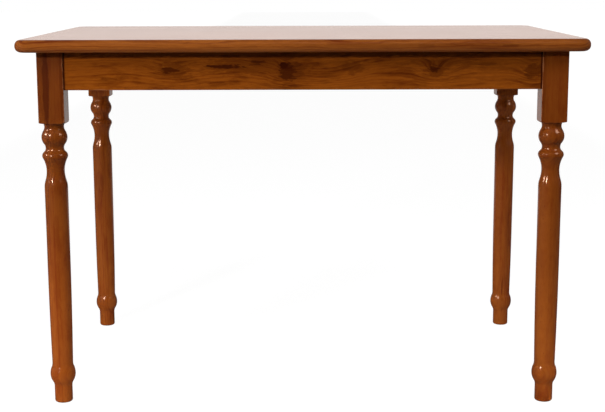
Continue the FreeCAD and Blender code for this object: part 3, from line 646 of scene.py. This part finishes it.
# %% Rails
RAIL_WOOD = {"pale": (0.28, 0.069, 0.005, 1), "deep": (0.085, 0.014, 0.001, 1), "worn": True}
FRONT_RAIL_WOOD = {
    **RAIL_WOOD,
    "black": (0.031, 0.0032, 0.0004, 1),
    "ring_width": 0.003,
    "wander": 6.0,
    "ring_depth": 0.32,
    "streak_depth": 0.45,
    "patch_depth": 0.20,
}
FRONT_KNOTS_AND_SHADE = [
    Knot(-0.387, -0.016, 0.026, 0.005, 0.6, 0.50),
    Knot(-0.261, 0.001, 0.026, 0.010, 1.0, 0.85),
    Knot(-0.255, 0.002, 0.055, 0.026, 3.0, 0.50),
    Knot(-0.150, 0.008, 0.058, 0.006, 0.4, 0.90),
    Knot(-0.110, 0.010, 0.140, 0.028, 0.0, 0.40),
    Knot(-0.088, 0.016, 0.026, 0.011, 0.6, 0.75),
    Knot(-0.037, 0.010, 0.013, 0.011, 1.0, 0.95),
    Knot(-0.030, -0.002, 0.027, 0.027, 1.5, 0.85),
    Knot(-0.021, 0.000, 0.052, 0.030, 3.0, 0.55),
    Knot(0.053, -0.002, 0.055, 0.024, 4.5, 0.30),
    Knot(0.098, 0.006, 0.036, 0.022, 1.0, 0.45),
    Knot(0.260, 0.002, 0.013, 0.012, 1.5, 0.85),
    Knot(0.263, 0.001, 0.036, 0.024, 3.5, 0.55),
    Knot(0.285, 0.017, 0.130, 0.015, 0.0, 0.42),
    Knot(0.366, 0.012, 0.034, 0.006, 0.5, 0.55),
    Knot(0.458, -0.002, 0.030, 0.022, 4.0, 0.52),
    # Painted shade: the dark line that the top's overhang casts along the rail's upper edge.
    Knot(0.000, 0.036, 0.900, 0.013, 0.0, 0.50),
]
SIDE_KNOTS = [Knot(-0.12, 0.004, 0.030, 0.014, 3.0, 0.6), Knot(0.17, -0.012, 0.020, 0.010, 2.0, 0.4)]

# The rails' shoulders stand against the inner faces of the leg blocks.
block_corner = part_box("leg_back_right")[0]
LONG_SHOULDER = block_corner.x
SHORT_SHOULDER = block_corner.y
dress_in_wood("rail_front", ALONG_X, (0, 0.09, -0.06), FRONT_KNOTS_AND_SHADE, shoulder=LONG_SHOULDER, **FRONT_RAIL_WOOD)
dress_in_wood("rail_back", ALONG_X, (0, -0.08, -0.05), SIDE_KNOTS, shoulder=LONG_SHOULDER, **RAIL_WOOD)
dress_in_wood("rail_left", ALONG_Y, (0, 0.09, 0.04), SIDE_KNOTS, shoulder=SHORT_SHOULDER, **RAIL_WOOD)
dress_in_wood("rail_right", ALONG_Y, (0, -0.07, 0.05), SIDE_KNOTS[:1], shoulder=SHORT_SHOULDER, **RAIL_WOOD)
print("knots and streaks in the front rail:", len(FRONT_KNOTS_AND_SHADE))

# %% [markdown]
# The legs were turned from redder, straighter blanks. On the block the rings run as upright stripes, and
# the balls and beads cut through several rings at once, which draws ovals on them. That needs no work at
# all, because the rings are counted in space: a drawn stripe would only wrap round the ball. The marks are
# the darker blocks, a few streaks, and a fine crack in the back right leg. The back left block is darkened
# most, partly as its own wood and partly as painted shade under the top.

# %% Legs
LEG_WOOD = {
    "pale": (0.23, 0.057, 0.006, 1),
    "deep": (0.13, 0.018, 0.001, 1),
    "black": (0.045, 0.004, 0.0004, 1),
    "wander": 0.8,
    "ragged": 0.6,
    "ring_depth": 0.3,
    "streak_depth": 0.3,
    "patch_depth": 0.3,
    "worn": True,
}
LEG_PITHS = {
    "leg_front_left": (0, 0.05, 0.07),
    "leg_front_right": (0, 0.08, -0.05),
    "leg_back_right": (0, -0.06, 0.05),
    "leg_back_left": (0, -0.05, -0.07),
}
LEG_MARKS_AND_SHADE = {
    "leg_front_left": [
        Knot(0.300, 0.0, 0.140, 0.060, 0.0, 0.42),
        Knot(0.295, 0.009, 0.140, 0.011, 0.0, 0.80),
        Knot(0.295, -0.023, 0.140, 0.008, 0.0, 0.60),
    ],
    "leg_front_right": [
        Knot(0.300, 0.0, 0.140, 0.060, 0.0, 0.15),
        Knot(0.300, 0.022, 0.120, 0.007, 0.0, 0.40),
    ],
    "leg_back_right": [
        Knot(0.300, 0.0, 0.120, 0.060, 0.0, 0.50),
        Knot(-0.262, 0.001, 0.032, 0.0016, 0.2, 0.80),
        Knot(-0.110, -0.012, 0.090, 0.008, 3.0, 0.20),
    ],
    # The first mark darkens the block: partly its own wood, partly painted shade under the top.
    "leg_back_left": [
        Knot(0.300, 0.0, 0.120, 0.060, 0.0, 0.65),
        Knot(0.009, 0.0, 0.035, 0.006, 3.0, 0.25),
    ],
}
WAIST_HOLLOW = (0.2110, 0.0075)
FRONT_COAT = {"coat_roughness": 0.13, "hollow": WAIST_HOLLOW}
BACK_COAT = {"coat_roughness": 0.19, "hollow": WAIST_HOLLOW}
for leg, pith in LEG_PITHS.items():
    coat = BACK_COAT if "back" in leg else FRONT_COAT
    dress_in_wood(leg, ALONG_Z, pith, LEG_MARKS_AND_SHADE[leg], **coat, **LEG_WOOD)
print("legs:", ", ".join(LEG_PITHS))

# %% [markdown]
# Under the top, the corner blocks and buttons are plain planed wood with no stain or lacquer, because
# nobody sees them. They could share the rails' wood, but a maker uses offcuts there, and the pale wood
# shows from below that these are separate pieces. The blocks lie across the corners, so their grain is
# turned by 45 degrees.

# %% Blocks and buttons
PLAIN_WOOD = {
    "pale": (0.60, 0.40, 0.21, 1),
    "deep": (0.40, 0.23, 0.10, 1),
    "streak_depth": 0.25,
    "lacquered": False,
}
BLOCK_PITH = (0, 0.05, 0.04)
BUTTON_PITH = (0, 0.04, -0.05)
BLOCK_ANGLES = {"front_left": -45, "front_right": 45, "back_right": -45, "back_left": 45}
SCREW_GROUPS = ("button_screws", "corner_block_screws")
for corner, degrees in BLOCK_ANGLES.items():
    dress_in_wood(f"corner_block_{corner}", (0, 0, math.radians(degrees)), BLOCK_PITH, **PLAIN_WOOD)
wooden = sorted(set(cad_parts) - set(SCREW_GROUPS))
buttons = [name for name in wooden if name.startswith("button_")]
for button in buttons:
    on_long_rail = "front" in button or "back" in button
    dress_in_wood(button, ALONG_Y if on_long_rail else ALONG_X, BUTTON_PITH, **PLAIN_WOOD)
print("plain pieces:", len(BLOCK_ANGLES), "blocks and", len(buttons), "buttons")

# %% [markdown]
# The screws are steel with a thin yellow plating that dulls in patches. The plating could be a layer of its
# own, like the lacquer, but a metal shows nothing from under its surface. So the shader's Metallic is set
# to 1, and only a colour and a roughness change a little from place to place.

# %% Screws
BRIGHT_PLATING = (0.70, 0.58, 0.32, 1)
DULL_PLATING = (0.50, 0.44, 0.34, 1)
TARNISH_SCALE = 400.0
TINT_RANGE = (0.35, 0.7)
SHEEN_RANGE = (0.3, 0.7)
METAL_ROUGHNESS = (0.28, 0.5)

steel = bpy.data.materials.new("plated_steel")
steel.use_nodes = True
steel_tree = steel.node_tree
steel_shader = steel_tree.nodes["Principled BSDF"]
steel_place = add(steel_tree, "ShaderNodeTexCoord").outputs["Object"]
tarnish = cloud(steel_tree, steel_place, TARNISH_SCALE, detail=3.0)
tint = blend_colors(steel_tree, fade(steel_tree, tarnish, *TINT_RANGE), BRIGHT_PLATING, DULL_PLATING)
feed(steel_tree, steel_shader.inputs["Base Color"], tint)
sheen = fade(steel_tree, tarnish, *SHEEN_RANGE, *METAL_ROUGHNESS)
feed(steel_tree, steel_shader.inputs["Roughness"], sheen)
steel_shader.inputs["Metallic"].default_value = 1.0
for screws in SCREW_GROUPS:
    dress(screws, steel)
print("steel:", ", ".join(SCREW_GROUPS))

# %% [markdown]
# The photograph's studio is a white floor that runs into a white backdrop, with a dark room behind the
# camera. A real backdrop could be modelled, but it would shade the table. Instead the world's brightness
# depends on the direction and on who asks. The camera sees white, a shiny surface sees white paper behind
# the table and a dark room in front of it, and soft dull light comes from behind.

# %% World
# A span is where a level changes, between straight in front of the table, -1, and straight behind it, 1.
ROOM_SPAN = (-0.3, 0.6)
ROOM_LEVELS = (0.02, 0.07)
PAPER_SPAN = (0.84, 0.95)
PAPER_LEVELS = (0.0, 1.09)
FILL_SPAN = (-0.2, 0.8)
FILL_LEVELS = (0.05, 0.6)
WHITE = (1, 1, 1, 1)
PAPER_IN_GLOSS = (1.0, 0.89, 0.84, 1)

world = bpy.data.worlds.new("studio")
bpy.context.scene.world = world
world.use_nodes = True
sky = world.node_tree
rays = add(sky, "ShaderNodeLightPath").outputs
direction = add(sky, "ShaderNodeTexCoord").outputs["Generated"]
toward_back = split(sky, direction)["Y"]
room = fade(sky, toward_back, *ROOM_SPAN, *ROOM_LEVELS)
paper_behind = fade(sky, toward_back, *PAPER_SPAN, *PAPER_LEVELS)
mirror_ray = calc(sky, "MAXIMUM", rays["Is Glossy Ray"], rays["Is Transmission Ray"])
seen_in_gloss = calc(sky, "MULTIPLY", mirror_ray, calc(sky, "ADD", room, paper_behind))
dull_ray = calc(sky, "SUBTRACT", 1.0, calc(sky, "MAXIMUM", rays["Is Camera Ray"], mirror_ray))
fill = calc(sky, "MULTIPLY", dull_ray, fade(sky, toward_back, *FILL_SPAN, *FILL_LEVELS))
seen = calc(sky, "ADD", rays["Is Camera Ray"], seen_in_gloss)
sky_light = sky.nodes["Background"]
feed(sky, sky_light.inputs["Color"], blend_colors(sky, mirror_ray, WHITE, PAPER_IN_GLOSS))
feed(sky, sky_light.inputs["Strength"], calc(sky, "ADD", seen, fill))
print("world:", world.name, len(sky.nodes), "nodes")


# %% [markdown]
# Lacquer shows every lamp as a small bright picture, so where the spots of light sit on the turned legs
# tells where the photographer's lamps stood. One lamp is hard to place for both its light and its spot, so
# the two jobs go to different lamps. First come those that only shine in the gloss. Light linking keeps
# them to the legs, because on the flat top they would make glaring spots in other views.

# %% Shine lamps
WARM = (1.0, 0.68, 0.49)
MIDDLE = (0, 0, 0.45)
LEFT_LEG = (-0.5, -0.3, 0.55)


def hang(data, place, aim):
    """Hang a lamp so that it faces a point. Neither the camera nor the gloss shows it."""
    lamp = bpy.data.objects.new(data.name, data)
    lamp.location = place
    lamp.rotation_euler = (Vector(aim) - Vector(place)).to_track_quat("-Z", "Y").to_euler()
    lamp.visible_camera = False
    lamp.visible_glossy = False
    bpy.context.collection.objects.link(lamp)
    return lamp


def softbox(name, place, aim, size, brightness):
    """Make a flat lamp. Its power grows with its area, so a wider one is as bright to look at."""
    data = bpy.data.lights.new(name, "AREA")
    data.shape = "RECTANGLE"
    data.size, data.size_y = size
    data.energy = brightness * math.pi * size[0] * size[1]
    return hang(data, place, aim)


turned_legs = bpy.data.collections.new("turned_legs")
for leg in LEG_PITHS:
    turned_legs.objects.link(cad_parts[leg])
shine_lamps = [
    softbox("shine_left", place=(-1.8, -0.51, 1.11), aim=LEFT_LEG, size=(0.26, 0.28), brightness=110),
    softbox("shine_front_left", place=(-1.77, -2.28, 1.48), aim=MIDDLE, size=(0.36, 0.42), brightness=165),
    softbox("shine_right", place=(1.85, -1.25, 1.85), aim=MIDDLE, size=(0.8, 0.8), brightness=17),
]
for lamp in shine_lamps:
    lamp.data.color = WARM
    lamp.visible_glossy = True
    lamp.visible_diffuse = False
    lamp.light_linking.receiver_collection = turned_legs
print("shine lamps:", ", ".join(lamp.name for lamp in shine_lamps))


# %% [markdown]
# These lamps only light. The main one stands at the front left, a wide one high up throws the soft shadow
# under the top, and a weak one at each side lights the outer sides of the legs. The photograph's legs don't
# get darker towards the floor, so four narrow spots stand low and lift the feet: brighter main lamps would do
# that too, but they would also bleach the rails.

# %% Lights
SPOT_RADIUS = 0.15


def spot(name, place, aim, degrees, power):
    """Make a lamp with a narrow, soft-edged beam."""
    data = bpy.data.lights.new(name, "SPOT")
    data.spot_size = math.radians(degrees)
    data.spot_blend = 1.0
    data.shadow_soft_size = SPOT_RADIUS
    data.energy = power
    return hang(data, place, aim)


lights = [
    softbox("key_front_left", place=(-2.0, -3.1, 1.75), aim=MIDDLE, size=(0.40, 0.3), brightness=190),
    softbox("bounce_high", place=(0.3, -2.4, 3.1), aim=MIDDLE, size=(3.0, 1.6), brightness=4.9),
    softbox("side_left", place=(-2.8, -0.6, 0.7), aim=MIDDLE, size=(1.2, 1.0), brightness=7.0),
    softbox("side_right", place=(3.0, 0.3, 1.0), aim=MIDDLE, size=(1.6, 1.2), brightness=4.0),
    spot("low_left", place=(-1.4, -1.9, 0.35), aim=(-0.5, -0.3, -0.02), degrees=28, power=85),
    spot("low_right", place=(1.2, -2.0, 0.35), aim=(0.5, -0.3, 0.0), degrees=16, power=36),
    spot("low_back_left", place=(0.6, -2.2, 0.22), aim=(-0.5, 0.3, 0.10), degrees=18, power=64),
    spot("low_back_right", place=(-0.7, -2.2, 0.22), aim=(0.5, 0.3, 0.18), degrees=18, power=82),
]
print("lights:", ", ".join(lamp.name for lamp in lights))

# %% [markdown]
# The table stands on pale paper. A small sheet would show its edges, so the floor is very wide and the
# paper is a mask on it: pale round the table and dark beyond, which keeps the front of the floor from
# lighting the shadow under the top. In the gloss the pale part starts two metres further back, behind the
# table, because the photograph's lacquer mirrors no pale floor in front.

# %% Floor: where the paper lies
FLOOR_HALF = 30.0
PAPER_SIDES = (2.0, 1.3)
PAPER_FRONT = (-1.2, -0.4)
GLOSS_SHIFT = 2.0
DARK_FLOOR = (0.06, 0.06, 0.06, 1)
PALE_PAPER = (0.8, 0.8, 0.8, 1)
PAPER_ROUGHNESS = 0.9

floor_mesh = bpy.data.meshes.new("floor")
corner_sides = [(-1, -1), (1, -1), (1, 1), (-1, 1)]
corners = [(x * FLOOR_HALF, y * FLOOR_HALF, 0) for x, y in corner_sides]
floor_mesh.from_pydata(corners, [], [(0, 1, 2, 3)])
floor = bpy.data.objects.new("floor", floor_mesh)
bpy.context.collection.objects.link(floor)

paper = bpy.data.materials.new("floor_paper")
paper.use_nodes = True
floor_mesh.materials.append(paper)
ground_tree = paper.node_tree
ground_rays = add(ground_tree, "ShaderNodeLightPath").outputs
ground = split(ground_tree, add(ground_tree, "ShaderNodeTexCoord").outputs["Object"])
beside = fade(ground_tree, calc(ground_tree, "ABSOLUTE", ground["X"]), *PAPER_SIDES)
shift = calc(ground_tree, "MULTIPLY", ground_rays["Is Glossy Ray"], GLOSS_SHIFT)
from_front = fade(ground_tree, calc(ground_tree, "SUBTRACT", ground["Y"], shift), *PAPER_FRONT)
on_paper = calc(ground_tree, "MULTIPLY", beside, from_front)
paper_shader = ground_tree.nodes["Principled BSDF"]
paper_color = blend_colors(ground_tree, on_paper, DARK_FLOOR, PALE_PAPER)
feed(ground_tree, paper_shader.inputs["Base Color"], paper_color)
paper_shader.inputs["Roughness"].default_value = PAPER_ROUGHNESS
paper_shader.inputs["Specular IOR Level"].default_value = 0.0
print("floor:", len(ground_tree.nodes), "nodes for its paper")

# %% [markdown]
# In the photograph the paper is pure white, which paper lit at a plain level never is. More lamps would
# make it so and bleach the table. So the camera sees mostly an even white glow, with a share of the real
# light mixed in to keep the table's shadow, and the gloss sees half of that glow. From below the floor is
# clear, so that the underside of the table can be looked at.

# %% Floor: what the camera sees
WHITE_GLOW = 1.12
GLOSS_GLOW = 0.5
WHITE_SHARES = (0.94, 0.84)

glow_color = blend_colors(ground_tree, ground_rays["Is Glossy Ray"], WHITE, PAPER_IN_GLOSS)
glow_sources = {"Color": glow_color, "Strength": WHITE_GLOW}
glow = add(ground_tree, "ShaderNodeEmission", glow_sources).outputs["Emission"]
glossy_paper = calc(ground_tree, "MULTIPLY", ground_rays["Is Glossy Ray"], on_paper)
gloss_share = calc(ground_tree, "MULTIPLY", glossy_paper, GLOSS_GLOW)
white_share = fade(ground_tree, on_paper, 0.0, 1.0, *WHITE_SHARES)
camera_share = calc(ground_tree, "MULTIPLY", ground_rays["Is Camera Ray"], white_share)
share = calc(ground_tree, "ADD", camera_share, gloss_share)
lit = {0: share, 1: paper_shader.outputs["BSDF"], 2: glow}
seen_from_above = add(ground_tree, "ShaderNodeMixShader", lit).outputs["Shader"]
backfacing = add(ground_tree, "ShaderNodeNewGeometry").outputs["Backfacing"]
from_below = calc(ground_tree, "MULTIPLY", backfacing, ground_rays["Is Camera Ray"])
clear = add(ground_tree, "ShaderNodeBsdfTransparent").outputs["BSDF"]
sides = {0: from_below, 1: seen_from_above, 2: clear}
floor_look = add(ground_tree, "ShaderNodeMixShader", sides).outputs["Shader"]
feed(ground_tree, ground_tree.nodes["Material Output"].inputs["Surface"], floor_look)
print("floor:", len(ground_tree.nodes), "nodes in all")
